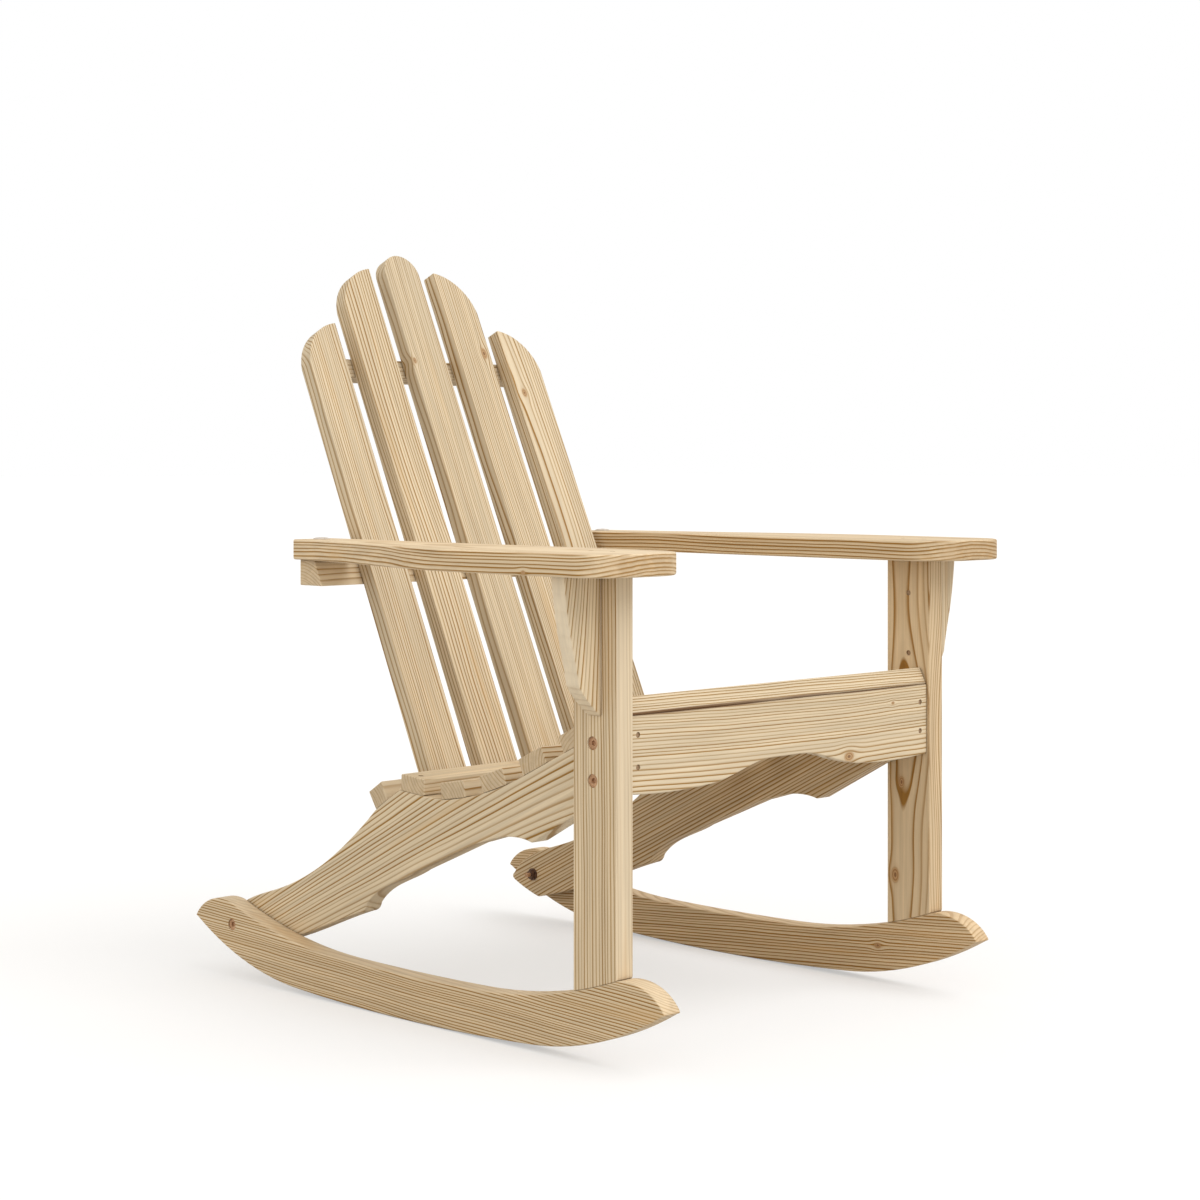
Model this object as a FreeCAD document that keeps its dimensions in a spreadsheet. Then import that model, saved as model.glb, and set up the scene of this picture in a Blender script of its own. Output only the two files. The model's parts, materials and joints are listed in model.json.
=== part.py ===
import FreeCAD, Part
import os
from math import cos, degrees, radians, sin, sqrt, tan

Vec = FreeCAD.Vector

# Outdoor rocking chair of flat boards: two runners, two posts, two side rails, two arms, an upright
# back of five slats and a scooped seat of six slats. The chair faces -Y and +X is the sitter's left.
# The origin is on the floor, midway between the sides and midway along the runners.

doc = FreeCAD.newDocument("rocking_chair")
sheet = doc.addObject("Spreadsheet::Sheet", "Sizes")

SIZES = [
    # frame boards: posts, runners and side rails are all cut from one board thickness
    ("frame_width", 583.0),
    ("board_thick", 26.0),
    ("post_depth", 66.0),
    ("post_front", 343.0),
    # runners
    ("runner_half_length", 414.5),
    ("nose_blunt", 4.0),
    ("nose_rise", 1.6),
    ("flat_radius", 3400.0),
    ("flat_half_length", 207.0),
    ("end_radius", 452.0),
    ("web_height", 52.7),
    ("top_half_length", 115.0),
    ("top_radius", 4650.0),
    ("top_end_radius", 726.0),
    ("hump_inset", 54.5),
    ("hump_drop", 4.6),
    # arms
    ("arm_top", 560.0),
    ("arm_thick", 25.0),
    ("arm_inner", 217.0),
    ("arm_outer_front", 366.0),
    ("arm_outer_rear", 279.5),
    ("arm_front_overhang", 51.5),
    ("arm_rear", 229.5),
    ("arm_corner_radius", 45.0),
    ("arm_inner_corner_radius", 57.0),
    ("arm_straight", 204.5),
    # brackets under the arms
    ("bracket_thick", 20.0),
    ("bracket_setback", 22.5),
    ("bracket_reach", 57.0),
    ("bracket_height", 154.0),
    # apron between the posts
    ("apron_thick", 20.0),
    ("apron_setback", 4.5),
    ("apron_height", 87.0),
    ("apron_rise", 20.5),
    ("apron_arch_half", 132.0),
    # side rails
    ("seat_slope", 25.7),
    ("seat_front_height", 381.5),
    ("scoop_radius", 421.0),
    ("scoop_end_slope", 6.5),
    ("rear_seat_slope", 4.1),
    ("rear_seat_height", 264.3),
    ("rear_flat_width", 46.8),
    ("scoop_rear_width", 30.0),
    ("foot_slope", 33.0),
    ("foot_reach", 44.8),
    # seat slats; the front one is a little thicker
    ("seat_slat_width", 42.0),
    ("seat_slat_thick", 20.0),
    ("front_slat_thick", 22.5),
    ("seat_slat_pitch", 72.5),
    ("rear_slat_setback", 3.0),
    # back slats and the rails behind them
    ("back_lean", 24.5),
    ("back_line_reach", 272.1),
    ("back_slat_width", 60.5),
    ("back_slat_thick", 22.0),
    ("back_slat_pitch", 87.3),
    ("back_foot_height", 240.0),
    ("middle_slat_length", 755.0),
    ("inner_slat_length", 732.0),
    ("outer_slat_length", 647.0),
    ("batten_height", 26.0),
    ("batten_thick", 20.0),
    ("foot_rail_side", 24.0),
    ("upper_batten_top", 791.0),
    ("upper_batten_length", 370.0),
    ("cross_rail_height", 32.0),
    ("cross_rail_half", 272.0),
    ("cross_rail_inset", 5.0),
    # fasteners
    ("bolt_shank", 6.0),
    ("bolt_head", 15.0),
    ("bolt_head_height", 4.0),
    ("bolt_recess", 2.0),
    ("bolt_tail", 13.0),
    ("socket_width", 6.0),
    ("socket_depth", 2.6),
    ("nut_width", 11.0),
    ("nut_height", 5.0),
    ("washer_width", 17.0),
    ("washer_thick", 1.5),
    ("screw_shank", 4.5),
    ("screw_head", 6.4),
    ("screw_head_depth", 2.0),
    ("screw_sink", 1.3),
    ("dowel_width", 10.0),
    ("dowel_half_length", 24.0),
    ("stud_head", 20.0),
    ("stud_head_height", 2.6),
    ("fit_gap", 0.1),
    # places of the fasteners
    ("upper_bolt_height", 351.0),
    ("lower_bolt_height", 310.0),
    ("post_bolt_back", 36.0),
    ("tail_bolt_inset", 76.5),
    ("tail_bolt_rise", 33.8),
    ("bracket_screw_upper", 42.0),
    ("bracket_screw_lower", 117.0),
    ("apron_screw_upper", 22.0),
    ("apron_screw_lower", 57.5),
    ("seat_screw_bite", 22.0),
    ("front_screw_setback", 13.0),
    ("front_screw_inset", 6.5),
    ("frame_screw_bite", 25.0),
    ("arm_screw_bite", 45.0),
    ("stud_inset", 22.0),
    ("stud_setback", 15.0),
    ("batten_screw_inset", 10.0),
]
for row, (name, value) in enumerate(SIZES, start=1):
    sheet.set("A%d" % row, name)
    sheet.set("B%d" % row, str(value))
    sheet.setAlias("B%d" % row, name)
doc.recompute()


def size(name):
    return float(sheet.get(name))


# Values that several pieces share
thick = size("board_thick")
half_frame = size("frame_width") / 2
post_inner = half_frame - thick
rail_inner = post_inner - thick
front = -size("post_front")
post_back = front + size("post_depth")
arm_under = size("arm_top") - size("arm_thick")
slope = tan(radians(size("seat_slope")))
apron_front = front + size("apron_setback")
apron_back = apron_front + size("apron_thick")
lean = radians(size("back_lean"))
gap = size("fit_gap")
SIDES = (("right", -1), ("left", 1))


def add(point, direction, length):
    """A point moved along a direction of the side view (y, z)."""
    return (point[0] + direction[0] * length, point[1] + direction[1] * length)


def arc_middle(start, end, radius, bulge):
    """The middle of the arc of this radius between two points, on the side that bulge points to."""
    chord_y = end[0] - start[0]
    chord_z = end[1] - start[1]
    half = sqrt(chord_y ** 2 + chord_z ** 2) / 2
    rise = radius - sqrt(radius ** 2 - half ** 2)
    middle = ((start[0] + end[0]) / 2, (start[1] + end[1]) / 2)
    normal = (-chord_z / (2 * half), chord_y / (2 * half))
    return add(middle, normal, rise * bulge)


def draw(sketch, start, steps):
    """Draws a closed outline of lines, arcs and smooth curves into a sketch."""
    here = Vec(start[0], start[1], 0)
    for kind, *points in steps:
        spots = [Vec(point[0], point[1], 0) for point in points]
        if kind == "line":
            sketch.addGeometry(Part.LineSegment(here, spots[0]))
        elif kind == "arc":
            sketch.addGeometry(Part.Arc(here, spots[0], spots[1]))
        elif kind == "curve":
            curve = Part.BSplineCurve()
            curve.interpolate([here] + spots)
            sketch.addGeometry(curve)
        here = spots[-1]


def board(name, plane, start, steps, thickness, place):
    """A board sawn to an outline: a body with one sketch and one pad."""
    body = doc.addObject("PartDesign::Body", name)
    sketch = body.newObject("Sketcher::SketchObject", name + "_outline")
    origin_plane = [item for item in body.Origin.OriginFeatures if item.Role == plane][0]
    sketch.AttachmentSupport = [(origin_plane, "")]
    sketch.MapMode = "FlatFace"
    draw(sketch, start, steps)
    pad = body.newObject("PartDesign::Pad", name + "_pad")
    pad.Profile = sketch
    pad.setExpression("Length", thickness)
    body.Tip = pad
    for axis, expression in place.items():
        body.setExpression(".Placement.Base." + axis, expression)
    sketch.Visibility = False
    return body


def polygon(points):
    """The steps of a straight-sided outline that ends where it starts."""
    return points[0], [("line", point) for point in points[1:] + points[:1]]


# Fasteners, and the holes that they leave, as solids of revolution
def turned(profile, place, direction):
    """A solid turned about an axis from its outline of (radius, depth) points."""
    points = [Vec(radius, 0, depth) for radius, depth in profile]
    face = Part.Face(Part.makePolygon(points + points[:1]))
    solid = face.revolve(Vec(0, 0, 0), Vec(0, 0, 1), 360)
    turn = FreeCAD.Rotation(Vec(0, 0, 1), Vec(*direction))
    solid.Placement = FreeCAD.Placement(Vec(*place), turn)
    return solid


def screw(place, direction, length, ease=0.0):
    """A countersunk wood screw whose head is sunk a little below the surface at place."""
    head = size("screw_head") / 2 + ease
    shank = size("screw_shank") / 2 + ease
    sink = size("screw_sink")
    depth = sink + size("screw_head_depth")
    point = length - 2 * size("screw_shank")
    top = 0 if ease else sink
    return turned([(0, top), (head, top), (head, sink + 0.3 * (depth - sink)), (shank, depth + ease),
                   (shank, point), (0, length + ease)], place, direction)


def hexagon(width, depth):
    """The corners of a hexagon of this width across its flats, lying at a depth."""
    radius = width / sqrt(3)
    return [Vec(radius * cos(radians(60 * k)), radius * sin(radians(60 * k)), depth) for k in range(7)]


def bolt(place, direction, grip, ease=0.0):
    """A bolt with a flat, sunk head and a hexagon socket; its end sticks out past the nut."""
    head = size("bolt_head") / 2 + ease
    shank = size("bolt_shank") / 2 + ease
    top = size("bolt_recess")
    under = top + size("bolt_head_height") + ease
    if ease:
        top = 0
    end = grip + size("bolt_tail")
    solid = turned([(0, top), (head, top), (head, under), (shank, under), (shank, end), (0, end)],
                   place, direction)
    if ease:
        return solid
    socket = Part.Face(Part.makePolygon(hexagon(size("socket_width"), top)))
    socket = socket.extrude(Vec(0, 0, size("socket_depth")))
    socket.Placement = solid.Placement
    return solid.cut(socket)


def stud(place, direction, length, ease=0.0):
    """A domed screw head that stands on the surface at place."""
    head = size("stud_head") / 2
    rise = size("stud_head_height")
    shank = size("screw_shank") / 2 + ease
    point = length - 2 * size("screw_shank")
    if ease:
        return turned([(0, 0), (shank, 0), (shank, point), (0, length + ease)], place, direction)
    rim = rise * 0.35
    shoulder = head * 0.72
    return turned([(0, -rise), (shoulder, -rise * 0.8), (head, -rim), (head, 0), (shank, 0),
                   (shank, point), (0, length)], place, direction)


def dowel(place, direction, ease=0.0):
    """A plain round pin centred on place."""
    radius = size("dowel_width") / 2 + ease
    reach = size("dowel_half_length") + ease
    return turned([(0, -reach), (radius, -reach), (radius, reach), (0, reach)], place, direction)


def nut_and_washer(place, direction):
    """A washer on the surface at place with a hexagonal nut on it."""
    bore = size("bolt_shank") / 2 + gap
    outer = size("washer_width") / 2
    washer_top = size("washer_thick")
    washer = turned([(bore, 0), (outer, 0), (outer, washer_top), (bore, washer_top)], place, direction)
    nut = Part.Face(Part.makePolygon(hexagon(size("nut_width"), washer_top)))
    nut = nut.extrude(Vec(0, 0, size("nut_height")))
    nut = nut.cut(Part.makeCylinder(bore, size("nut_height"), Vec(0, 0, washer_top)))
    turn = FreeCAD.Rotation(Vec(0, 0, 1), Vec(*direction))
    nut.Placement = FreeCAD.Placement(Vec(*place), turn)
    return [washer, nut]


nodes = []


def keep(label, item):
    """Makes an object a sub-part of the chair under its own name."""
    item.Label = label
    nodes.append(item)
    return item


def group(label, solids):
    """Identical small pieces as one sub-part of separate solids."""
    item = doc.addObject("Part::Feature", label)
    item.Shape = Part.makeCompound(solids)
    item.Placement = FreeCAD.Placement()
    return keep(label, item)


def drilled(label, body, holes):
    """A board less the holes of its fasteners."""
    if not holes:
        return keep(label, body)
    tool = doc.addObject("Part::Feature", label + "_holes")
    tool.Shape = Part.makeCompound(holes)
    cut = doc.addObject("Part::Cut", label + "_drilled")
    cut.Base = body
    cut.Tool = tool
    return keep(label, cut)


# Heights of the runner's edges, at a distance from its middle
def two_arc_height(reach, flat_reach, flat_radius, end_radius):
    """Height of a line that starts level, bends gently and then, past flat_reach, more sharply."""
    if reach <= flat_reach:
        return flat_radius - sqrt(flat_radius ** 2 - reach ** 2)
    turn = flat_reach / flat_radius
    rise = flat_radius - sqrt(flat_radius ** 2 - flat_reach ** 2)
    centre_y = flat_reach - end_radius * turn
    centre_z = rise + end_radius * sqrt(1 - turn ** 2)
    return centre_z - sqrt(end_radius ** 2 - (reach - centre_y) ** 2)


def sole_height(reach):
    return two_arc_height(abs(reach), size("flat_half_length"), size("flat_radius"), size("end_radius"))


def web_top_height(reach):
    rise = two_arc_height(abs(reach), size("top_half_length"), size("top_radius"), size("top_end_radius"))
    return size("web_height") + rise


# Fastener places that the boards share
bolt_y = front + size("post_bolt_back")
post_bolts = [(bolt_y, size("upper_bolt_height")), (bolt_y, size("lower_bolt_height"))]
tail_bolt_y = size("runner_half_length") - size("tail_bolt_inset")
tail_bolt = (tail_bolt_y, sole_height(tail_bolt_y) + size("tail_bolt_rise"))
bracket_front = front + size("bracket_setback")
bracket_middle = bracket_front + size("bracket_thick") / 2
bracket_screws = [(bracket_middle, arm_under - size("bracket_screw_upper")),
                  (bracket_middle, arm_under - size("bracket_screw_lower"))]
dowel_inset = size("post_depth") / 4
dowel_places = [front + dowel_inset, post_back - dowel_inset]


def post_dowels(side, ease=0.0):
    across = side * (half_frame - thick / 2)
    return [dowel((across, y, web_top_height(y)), (0, 0, 1), ease) for y in dowel_places]


def side_bolts(side, ease=0.0):
    return [bolt((side * half_frame, y, z), (-side, 0, 0), 2 * thick, ease) for y, z in post_bolts]


def tail_bolts(side, ease=0.0):
    return [bolt((side * half_frame, tail_bolt[0], tail_bolt[1]), (-side, 0, 0), 2 * thick, ease)]


def bracket_fixings(side, ease=0.0):
    length = thick + 0.45 * size("bracket_reach")
    return [screw((side * post_inner, y, z), (side, 0, 0), length, ease) for y, z in bracket_screws]


# Runners: crescent boards with a rounded hump and a blunt nose at each end
runner_reach = size("runner_half_length")
join_reach = size("flat_half_length")
shoulder = web_top_height(size("top_half_length"))
hump_foot_reach = -front
hump_foot = web_top_height(hump_foot_reach)
sole_tip_reach = runner_reach - size("nose_blunt")
sole_tip = sole_height(sole_tip_reach)
tip = sole_tip + size("nose_rise")
hump_reach = runner_reach - size("hump_inset")
hump = (hump_reach, web_top_height(hump_reach) - size("hump_drop"))
nose_low = (runner_reach - 0.3 * size("hump_inset"), tip + 0.6 * (hump[1] - tip))


def mirror(point):
    return (-point[0], point[1])


def runner_outline():
    low_join = (join_reach, sole_height(join_reach))
    low_middle = ((join_reach + sole_tip_reach) / 2, sole_height((join_reach + sole_tip_reach) / 2))
    end = (sole_tip_reach, sole_tip)
    point = (runner_reach, tip)
    foot = (hump_foot_reach, hump_foot)
    web_join = (size("top_half_length"), shoulder)
    web_middle_reach = (size("top_half_length") + hump_foot_reach) / 2
    web_middle = (web_middle_reach, web_top_height(web_middle_reach))
    steps = [
        ("arc", (0, 0), low_join),
        ("arc", low_middle, end),
        ("line", point),
        ("curve", nose_low, hump, foot),
        ("arc", web_middle, web_join),
        ("arc", (0, size("web_height")), mirror(web_join)),
        ("arc", mirror(web_middle), mirror(foot)),
        ("curve", mirror(hump), mirror(nose_low), mirror(point)),
        ("line", mirror(end)),
        ("arc", mirror(low_middle), mirror(low_join)),
    ]
    return mirror(low_join), steps


for side_name, side in SIDES:
    start, steps = runner_outline()
    shift = "-Sizes.frame_width / 2" if side < 0 else "Sizes.frame_width / 2 - Sizes.board_thick"
    runner = board("runner_" + side_name + "_blank", "YZ_Plane", start, steps, "Sizes.board_thick",
                   {"x": shift})
    drilled("runner_" + side_name, runner, post_dowels(side, gap) + tail_bolts(side, gap))

# Posts: each stands on the runner's upper edge, cut to its curve, and carries the arm
def post_outline():
    middle_y = (front + post_back) / 2
    foot_front = (front, web_top_height(front))
    foot_back = (post_back, web_top_height(post_back))
    foot_middle = (middle_y, web_top_height(middle_y))
    return foot_front, [("arc", foot_middle, foot_back), ("line", (post_back, arm_under)),
                        ("line", (front, arm_under)), ("line", foot_front)]


arm_screw_length = size("arm_thick") + size("arm_screw_bite")
arm_post_y = [front + size("post_depth") * 0.28, front + size("post_depth") * 0.78]
cross_rear = size("arm_rear") - size("cross_rail_inset")
cross_bottom = arm_under - size("cross_rail_height")


def arm_screws(side, ease=0.0):
    across = side * (half_frame - thick / 2)
    return [screw((across, y, size("arm_top")), (0, 0, -1), arm_screw_length, ease) for y in arm_post_y]


def arm_stud(side, ease=0.0):
    across = side * (size("cross_rail_half") - size("stud_inset"))
    length = size("arm_thick") + 0.75 * size("cross_rail_height")
    return [stud((across, cross_rear - size("stud_setback"), size("arm_top")), (0, 0, -1), length, ease)]


for side_name, side in SIDES:
    start, steps = post_outline()
    shift = "-Sizes.frame_width / 2" if side < 0 else "Sizes.frame_width / 2 - Sizes.board_thick"
    post = board("post_" + side_name + "_blank", "YZ_Plane", start, steps, "Sizes.board_thick", {"x": shift})
    holes = post_dowels(side, gap) + side_bolts(side, gap) + bracket_fixings(side, gap)
    drilled("post_" + side_name, post, holes + arm_screws(side, gap))

# Seat line: straight at the front, scooped behind, then a rise for the rearmost slat
seat_direction = (cos(radians(size("seat_slope"))), -sin(radians(size("seat_slope"))))
seat_front = (apron_front, size("seat_front_height"))
scoop_radius = size("scoop_radius")
end_slope = radians(size("scoop_end_slope"))
seat_slope = radians(size("seat_slope"))
scoop_span = scoop_radius * (sin(seat_slope) - sin(end_slope))
scoop_drop = scoop_radius * (cos(end_slope) - cos(seat_slope))
back_plane_y = front + size("back_line_reach")


def back_face(height, depth=0.0):
    """Point of the back slats' front face at a height, or of a plane depth behind it."""
    return (back_plane_y + height * tan(lean) + depth / cos(lean), height)


foot_reach = size("foot_reach")
foot_slope = radians(size("foot_slope"))
slat_back_foot_y = back_face(0.0, size("back_slat_thick"))[0]
# where the foot rail's corner meets both the slats' rear faces and the rail's rear slope
rear_seat_height = size("rear_seat_height")
slope_at_floor = rear_seat_height + (foot_reach - slat_back_foot_y) * tan(foot_slope)
corner_z = slope_at_floor / (1 + tan(lean) * tan(foot_slope))
corner = (slat_back_foot_y + corner_z * tan(lean), corner_z)
foot_side = size("foot_rail_side")
foot_corner = add(corner, (cos(foot_slope), -sin(foot_slope)), foot_side)
hump_back = (foot_reach, rear_seat_height)
rear_slope = radians(size("rear_seat_slope"))
rear_flat = size("rear_flat_width")
scoop_end_y = foot_reach - rear_flat - size("scoop_rear_width")
scoop_start = (scoop_end_y - scoop_span, 0.0)
scoop_start = (scoop_start[0], seat_front[1] - (scoop_start[0] - seat_front[0]) * slope)
scoop_end = (scoop_end_y, scoop_start[1] - scoop_drop)
hump_front = (foot_reach - rear_flat, rear_seat_height - rear_flat * tan(rear_slope))
rail_front = (apron_back, seat_front[1] - size("apron_thick") * slope)


def rail_outline():
    start = rail_front
    scoop_middle = arc_middle(scoop_start, scoop_end, scoop_radius, -1)

    def spot(along, up):
        """A point at shares of the runner's half length and of the seat's rear height."""
        return (along * size("runner_half_length"), up * rear_seat_height)

    def tail(along, down):
        """A point at shares of the way back and down from the foot rail's corner to the tail bolt."""
        return (foot_corner[0] + along * (tail_bolt[0] - foot_corner[0]),
                foot_corner[1] + down * (tail_bolt[1] - foot_corner[1]))

    steps = [
        ("line", scoop_start),
        ("arc", scoop_middle, scoop_end),
        ("line", hump_front),
        ("line", hump_back),
        ("line", foot_corner),
        ("curve", tail(0.104, 0.135), tail(0.217, 0.269), tail(0.345, 0.405), tail(0.475, 0.521),
         tail(0.600, 0.613), tail(0.740, 0.695), tail(0.880, 0.760), tail(0.999, 0.825),
         tail(1.153, 1.007)),
        ("curve", tail(1.168, 1.041), tail(1.151, 1.071)),
        ("curve", tail(1.055, 1.134), tail(0.958, 1.181)),
        ("curve", tail(0.887, 1.157), spot(0.501, 0.281), spot(0.402, 0.342), spot(0.283, 0.409)),
        ("curve", spot(0.264, 0.422), spot(0.252, 0.454)),
        ("curve", spot(0.220, 0.501), spot(0.140, 0.569), spot(0.034, 0.644)),
        ("line", spot(-0.211, 0.809)),
        ("curve", spot(-0.278, 0.840), spot(-0.347, 0.865), spot(-0.383, 0.868),
         spot(-0.419, 0.864), spot(-0.444, 0.855)),
        ("line", (apron_back, 1.134 * rear_seat_height)),
        ("line", start),
    ]
    return start, steps


seat_up = (sin(seat_slope), cos(seat_slope))


def on_seat_line(along):
    """Underside middle and slope of a slat at this distance along the seat line."""
    straight = (scoop_start[0] - seat_front[0]) / cos(seat_slope)
    if along <= straight:
        return add(seat_front, seat_direction, along), seat_slope
    angle = seat_slope - (along - straight) / scoop_radius
    y = scoop_start[0] + scoop_radius * (sin(seat_slope) - sin(angle))
    z = scoop_start[1] - scoop_radius * (cos(angle) - cos(seat_slope))
    sag = (size("seat_slat_width") / 2) ** 2 / (2 * scoop_radius)
    return (y, z + sag), angle


def seat_places():
    """Place and slope of each seat slat: as many at one pitch as the seat line holds, then the rear one."""
    places = []
    half_width = size("seat_slat_width") / 2
    overhang = 0.2 * half_width
    place, angle = on_seat_line(half_width)
    while place[0] + half_width * cos(angle) <= scoop_end_y + overhang:
        places.append((place, angle))
        place, angle = on_seat_line(half_width + len(places) * size("seat_slat_pitch"))
    rear_middle = foot_reach - half_width * cos(rear_slope) - size("rear_slat_setback")
    rear_height = rear_seat_height - (foot_reach - rear_middle) * tan(rear_slope)
    places.append(((rear_middle, rear_height), -rear_slope))
    return places


seat = seat_places()
seat_thickness = ["front_slat_thick"] + ["seat_slat_thick"] * (len(seat) - 1)
rail_middle = (post_inner + rail_inner) / 2


def seat_screws(ease=0.0, only=None):
    """One screw at each end of each seat slat, into the side rails."""
    solids = []
    for index, ((y, z), angle) in enumerate(seat):
        if only is not None and index != only:
            continue
        slat_top = size(seat_thickness[index])
        length = slat_top + size("seat_screw_bite")
        up = (sin(angle), cos(angle))
        along = (cos(angle), -sin(angle))
        top = add((y, z), up, slat_top)
        across = rail_middle
        if index == 0:
            # the front slat also covers the apron, so its screws stand further back and inward
            top = add(top, along, size("front_screw_setback"))
            across = rail_middle - size("front_screw_inset")
        for side_name, side in SIDES:
            place = (side * across, top[0], top[1])
            solids.append(screw(place, (0, -up[0], -up[1]), length, ease))
    return solids


def apron_screws(ease=0.0):
    heights = [seat_front[1] - size("apron_screw_upper"), seat_front[1] - size("apron_screw_lower")]
    length = size("apron_thick") + size("frame_screw_bite")
    return [screw((side * rail_middle, apron_front, z), (0, 1, 0), length, ease)
            for side_name, side in SIDES for z in heights]


foot_middle = add(corner, (cos(foot_slope), -sin(foot_slope)), foot_side / 2)
foot_up = (sin(foot_slope), cos(foot_slope))


def foot_rail_screws(ease=0.0):
    """Screws down through the foot rail into the side rails."""
    top = add(foot_middle, foot_up, foot_side)
    length = foot_side + size("frame_screw_bite")
    return [screw((side * rail_middle, top[0], top[1]), (0, -foot_up[0], -foot_up[1]), length, ease)
            for side_name, side in SIDES]


for side_name, side in SIDES:
    start, steps = rail_outline()
    shift = "-Sizes.frame_width / 2 + Sizes.board_thick" if side < 0 else \
        "Sizes.frame_width / 2 - 2 * Sizes.board_thick"
    rail = board("side_rail_" + side_name + "_blank", "YZ_Plane", start, steps, "Sizes.board_thick",
                 {"x": shift})
    holes = side_bolts(side, gap) + tail_bolts(side, gap) + seat_screws(gap) + apron_screws(gap)
    drilled("side_rail_" + side_name, rail, holes + foot_rail_screws(gap))

# Apron: a board between the posts with a raised arch in its lower edge and a bevelled top
def apron_outline():
    half = post_inner
    low = seat_front[1] - size("apron_height")
    rise = size("apron_rise")
    high = low + rise
    arch = size("apron_arch_half")
    return (-half, seat_front[1]), [
        ("line", (half, seat_front[1])),
        ("line", (half, low + 0.02 * rise)),
        ("curve", (0.485 * (half + arch), low - 0.12 * rise), (arch, low)),
        ("curve", (0.66 * arch, low + 0.42 * rise), (0.3 * arch, high - 0.04 * rise), (0, high),
         (-0.3 * arch, high - 0.04 * rise), (-0.66 * arch, low + 0.42 * rise), (-arch, low)),
        ("curve", (-0.485 * (half + arch), low - 0.12 * rise), (-half, low + 0.02 * rise)),
        ("line", (-half, seat_front[1])),
    ]


start, steps = apron_outline()
apron_board = board("apron_board", "XZ_Plane", start, steps, "Sizes.apron_thick",
                    {"y": "-Sizes.post_front + Sizes.apron_setback + Sizes.apron_thick"})
above = seat_front[1] + gap
wedge_face = Part.Face(Part.makePolygon([
    Vec(-half_frame, apron_front, seat_front[1]),
    Vec(-half_frame, apron_back, rail_front[1]),
    Vec(-half_frame, apron_back, above),
    Vec(-half_frame, apron_front, above),
    Vec(-half_frame, apron_front, seat_front[1]),
]))
bevel = wedge_face.extrude(Vec(2 * half_frame, 0, 0))
drilled("front_apron", apron_board, [bevel] + apron_screws(gap))

# Seat slats: the front one lies between the posts, the others reach the rails' outer faces
seat_names = ["seat_slat_front"] + ["seat_slat_%d" % k for k in range(2, len(seat))] + ["seat_slat_rear"]
for index, ((y, z), angle) in enumerate(seat):
    slat = doc.addObject("Part::Box", seat_names[index] + "_blank")
    slat.setExpression("Length", "Sizes.frame_width - 2 * Sizes.board_thick")
    slat.setExpression("Width", "Sizes.seat_slat_width")
    slat.setExpression("Height", "Sizes." + seat_thickness[index])
    corner_place = add((y, z), (-cos(angle), sin(angle)), size("seat_slat_width") / 2)
    turn = FreeCAD.Rotation(Vec(1, 0, 0), -degrees(angle))
    slat.Placement = FreeCAD.Placement(Vec(-post_inner, corner_place[0], corner_place[1]), turn)
    drilled(seat_names[index], slat, seat_screws(gap, index))

# Back slats: five parallel boards, leaning back, their tops rounded to step up to the middle
BACK_NAMES = ["back_slat_1", "back_slat_2", "back_slat_3", "back_slat_4", "back_slat_5"]
slat_thick = size("back_slat_thick")
batten_height = size("batten_height")
batten_thick = size("batten_thick")
back_along = (sin(lean), cos(lean))
back_out = (cos(lean), -sin(lean))
upper_corner = back_face(size("upper_batten_top"), slat_thick)
upper_screw_spot = add(add(upper_corner, back_along, -batten_height / 2), back_out, batten_thick)
foot_screw_spot = add(add(corner, back_along, foot_side / 2), back_out, foot_side)
cross_screw_z = cross_bottom + size("cross_rail_height") / 2


def back_slat_x(index):
    return (index - 2) * size("back_slat_pitch")


def back_screws(which, ease=0.0, only=None):
    """Screws from behind through one of the three cross members into the back slats."""
    solids = []
    for index in range(5):
        if only is not None and index != only:
            continue
        x = back_slat_x(index)
        if which == "upper":
            inset = size("batten_screw_inset") * ((index == 4) - (index == 0))
            place = (x - inset, upper_screw_spot[0], upper_screw_spot[1])
            length = batten_thick + slat_thick * 0.75
            solids.append(screw(place, (0, -back_out[0], -back_out[1]), length, ease))
        elif which == "cross":
            depth = cross_rear - back_face(cross_screw_z, slat_thick)[0]
            solids.append(screw((x, cross_rear, cross_screw_z), (0, -1, 0), depth + slat_thick * 0.75, ease))
        else:
            place = (x, foot_screw_spot[0], foot_screw_spot[1])
            solids.append(screw(place, (0, -back_out[0], -back_out[1]), foot_side + slat_thick * 0.75, ease))
    return solids


for index, name in enumerate(BACK_NAMES):
    half = size("back_slat_width") / 2
    outward = (index > 2) - (index < 2)
    if outward == 0:
        length = size("middle_slat_length")
        top_radius = half
        steps = [("line", (half, length - top_radius)), ("arc", (0, length), (-half, length - top_radius)),
                 ("line", (-half, 0)), ("line", (half, 0))]
        start = (half, 0)
    else:
        length = size("inner_slat_length") if abs(index - 2) == 1 else size("outer_slat_length")
        radius = 2 * half
        drop = length - radius
        outer = outward * half
        cut = 1.13 * radius * (1 - cos(radians(45)))
        bend = (outer - outward * cut, length - cut)
        steps = [("line", (outer, drop)), ("arc", bend, (-outer, length)), ("line", (-outer, 0)),
                 ("line", (outer, 0))]
        start = (outer, 0)
    slat = board(name + "_blank", "XZ_Plane", start, steps, "Sizes.back_slat_thick", {})
    foot = back_face(size("back_foot_height"), slat_thick)
    turn = FreeCAD.Rotation(Vec(1, 0, 0), -size("back_lean"))
    slat.Placement = FreeCAD.Placement(Vec(back_slat_x(index), foot[0], foot[1]), turn)
    holes = [solid for which in ("upper", "cross", "foot") for solid in back_screws(which, gap, index)]
    drilled(name, slat, holes)

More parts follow.
